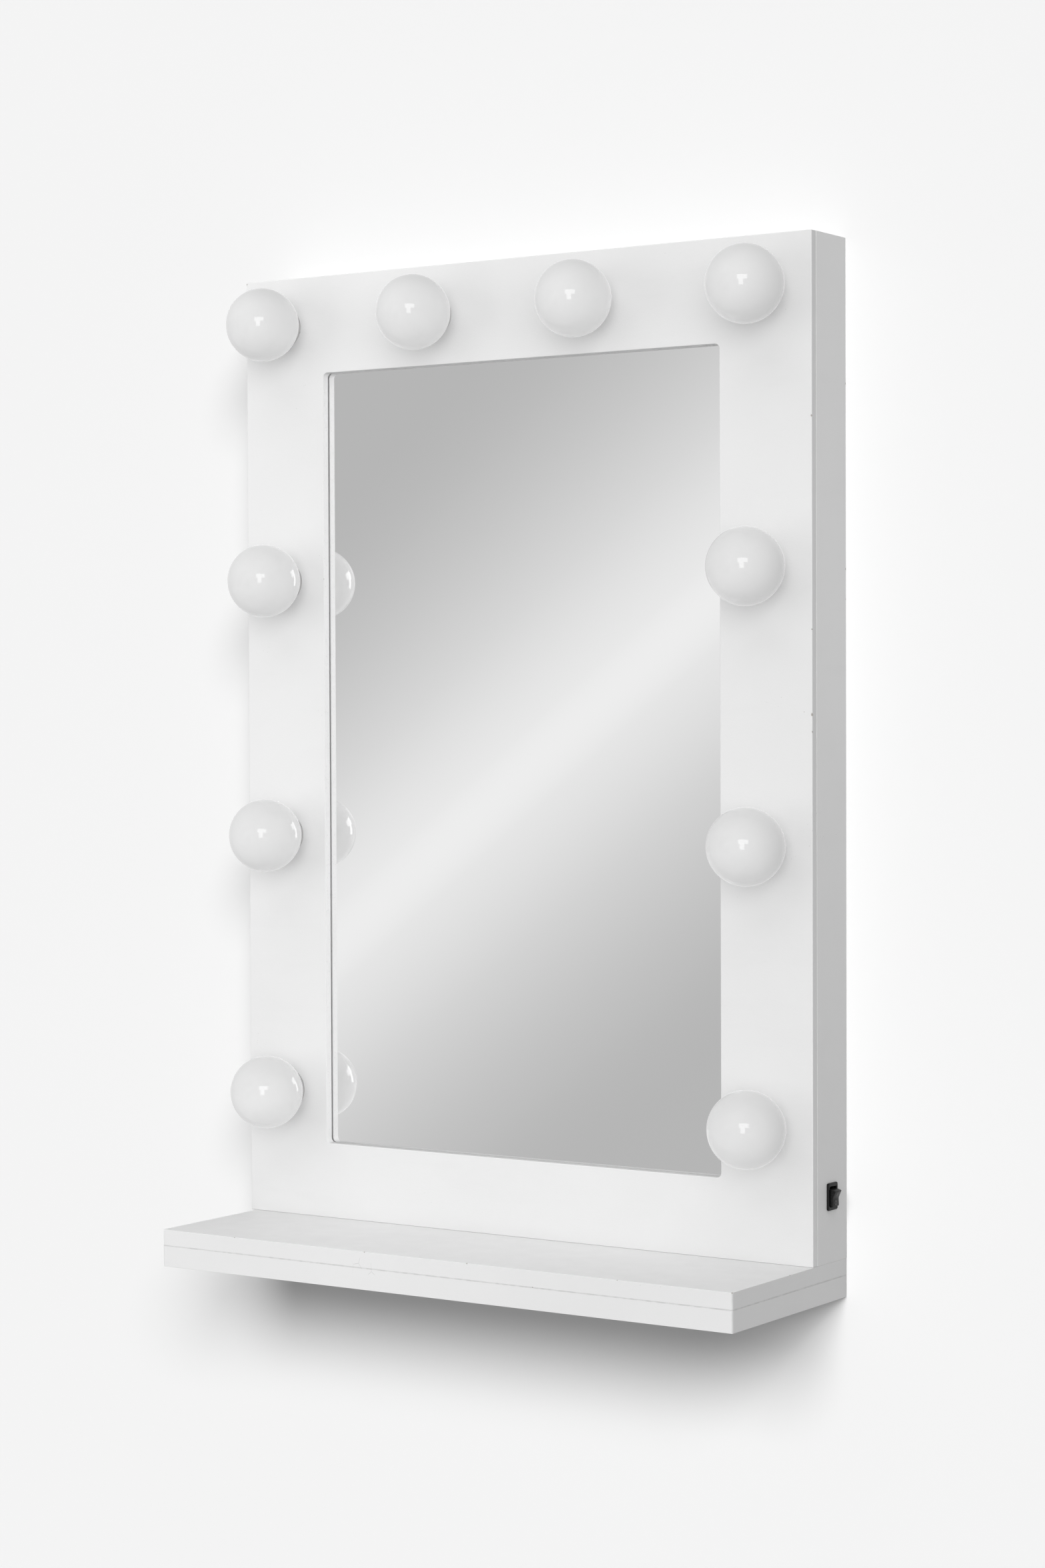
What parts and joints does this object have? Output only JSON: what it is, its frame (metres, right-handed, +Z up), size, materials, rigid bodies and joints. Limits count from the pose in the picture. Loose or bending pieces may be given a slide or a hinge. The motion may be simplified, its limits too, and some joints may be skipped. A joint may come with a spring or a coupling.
{
  "type": "lighted vanity mirror",
  "caption": "Make-up mirror in a shallow painted wooden case, with globe lamps up both sides and along the top, a deep shelf below, a rocker switch on the side and a rail to hang it by.",
  "frame": {"origin": "on the wall plane, at the middle of the hanging rail's rear face and halfway up it", "axes": "+X right as seen from the front, +Y back into the wall, +Z up"},
  "size_m": [0.5445, 0.176, 0.81],
  "materials": {
    "painted_wood": "white satin paint on board",
    "hardboard": "bare hardboard",
    "bare_pine": "bare planed pine",
    "mirror": "silvered float glass",
    "opal_glass": "glossy opal white",
    "nickel_cap": "nickel plate",
    "porcelain": "glazed",
    "black_plastic": "fine moulded texture",
    "brass": "stamped",
    "plated_steel": "zinc plate",
    "black_rubber": "matt",
    "nylon": "moulded",
    "cable_sheath": "extruded sheath"
  },
  "bodies": {
    "case": {"front_panel": "painted_wood", "side_panel_left": "painted_wood", "side_panel_right": "painted_wood", "top_panel": "painted_wood", "shelf_upper_board": "painted_wood", "shelf_lower_board": "painted_wood", "back_panel": "hardboard", "mirror_backing_board": "hardboard", "back_batten_left": "bare_pine", "back_batten_right": "bare_pine", "hanging_rail": "bare_pine", "back_panel_screw_1": "plated_steel", "back_panel_screw_2": "plated_steel", "back_panel_screw_3": "plated_steel", "back_panel_screw_4": "plated_steel", "hanger_plate_left": "plated_steel", "hanger_plate_right": "plated_steel", "mirror_clip_1": "plated_steel", "mirror_clip_2": "plated_steel", "mirror_clip_3": "plated_steel", "mirror_clip_4": "plated_steel", "mirror_glass": "mirror", "lampholder_1": "porcelain", "lampholder_2": "porcelain", "lampholder_3": "porcelain", "lampholder_4": "porcelain", "lampholder_5": "porcelain", "lampholder_6": "porcelain", "lampholder_7": "porcelain", "lampholder_8": "porcelain", "lampholder_9": "porcelain", "lampholder_10": "porcelain", "switch_housing": "black_plastic", "switch_terminal_common": "brass", "switch_terminal_live": "brass", "cable_grommet": "black_rubber", "terminal_block": "nylon", "wiring_loom": "cable_sheath"},
    "lamp_1": {"lamp_globe_1": "opal_glass", "lamp_cap_1": "nickel_cap"},
    "lamp_2": {"lamp_globe_2": "opal_glass", "lamp_cap_2": "nickel_cap"},
    "lamp_3": {"lamp_globe_3": "opal_glass", "lamp_cap_3": "nickel_cap"},
    "lamp_4": {"lamp_globe_4": "opal_glass", "lamp_cap_4": "nickel_cap"},
    "lamp_5": {"lamp_globe_5": "opal_glass", "lamp_cap_5": "nickel_cap"},
    "lamp_6": {"lamp_globe_6": "opal_glass", "lamp_cap_6": "nickel_cap"},
    "lamp_7": {"lamp_globe_7": "opal_glass", "lamp_cap_7": "nickel_cap"},
    "lamp_8": {"lamp_globe_8": "opal_glass", "lamp_cap_8": "nickel_cap"},
    "lamp_9": {"lamp_globe_9": "opal_glass", "lamp_cap_9": "nickel_cap"},
    "lamp_10": {"lamp_globe_10": "opal_glass", "lamp_cap_10": "nickel_cap"},
    "rocker": {"switch_rocker": "black_plastic"},
    "contact_lever": {"switch_contact_lever": "brass"}
  },
  "joints": [
    {"name": "rocker_tilt", "type": "hinge", "parent": "case", "child": "rocker", "pos_m": [0.267, -0.0255, -0.69725], "axis": [0, -1, 0], "range_deg": [0, 22]},
    {"name": "contact_lever_tilt", "type": "hinge", "parent": "case", "child": "contact_lever", "pos_m": [0.25375, -0.0255, -0.69725], "axis": [0, 1, 0], "range_deg": [0, 16.5]},
    {"name": "lamp_1_pull_out", "type": "slide", "parent": "case", "child": "lamp_1", "axis": [0, -1, 0], "range_m": [0, 0.032]},
    {"name": "lamp_2_pull_out", "type": "slide", "parent": "case", "child": "lamp_2", "axis": [0, -1, 0], "range_m": [0, 0.032]},
    {"name": "lamp_3_pull_out", "type": "slide", "parent": "case", "child": "lamp_3", "axis": [0, -1, 0], "range_m": [0, 0.032]},
    {"name": "lamp_4_pull_out", "type": "slide", "parent": "case", "child": "lamp_4", "axis": [0, -1, 0], "range_m": [0, 0.032]},
    {"name": "lamp_5_pull_out", "type": "slide", "parent": "case", "child": "lamp_5", "axis": [0, -1, 0], "range_m": [0, 0.032]},
    {"name": "lamp_6_pull_out", "type": "slide", "parent": "case", "child": "lamp_6", "axis": [0, -1, 0], "range_m": [0, 0.032]},
    {"name": "lamp_7_pull_out", "type": "slide", "parent": "case", "child": "lamp_7", "axis": [0, -1, 0], "range_m": [0, 0.032]},
    {"name": "lamp_8_pull_out", "type": "slide", "parent": "case", "child": "lamp_8", "axis": [0, -1, 0], "range_m": [0, 0.032]},
    {"name": "lamp_9_pull_out", "type": "slide", "parent": "case", "child": "lamp_9", "axis": [0, -1, 0], "range_m": [0, 0.032]},
    {"name": "lamp_10_pull_out", "type": "slide", "parent": "case", "child": "lamp_10", "axis": [0, -1, 0], "range_m": [0, 0.032]}
  ],
  "couplings": [
    {"joint": "contact_lever_tilt", "follows": "rocker_tilt", "ratio": 0.75}
  ]
}
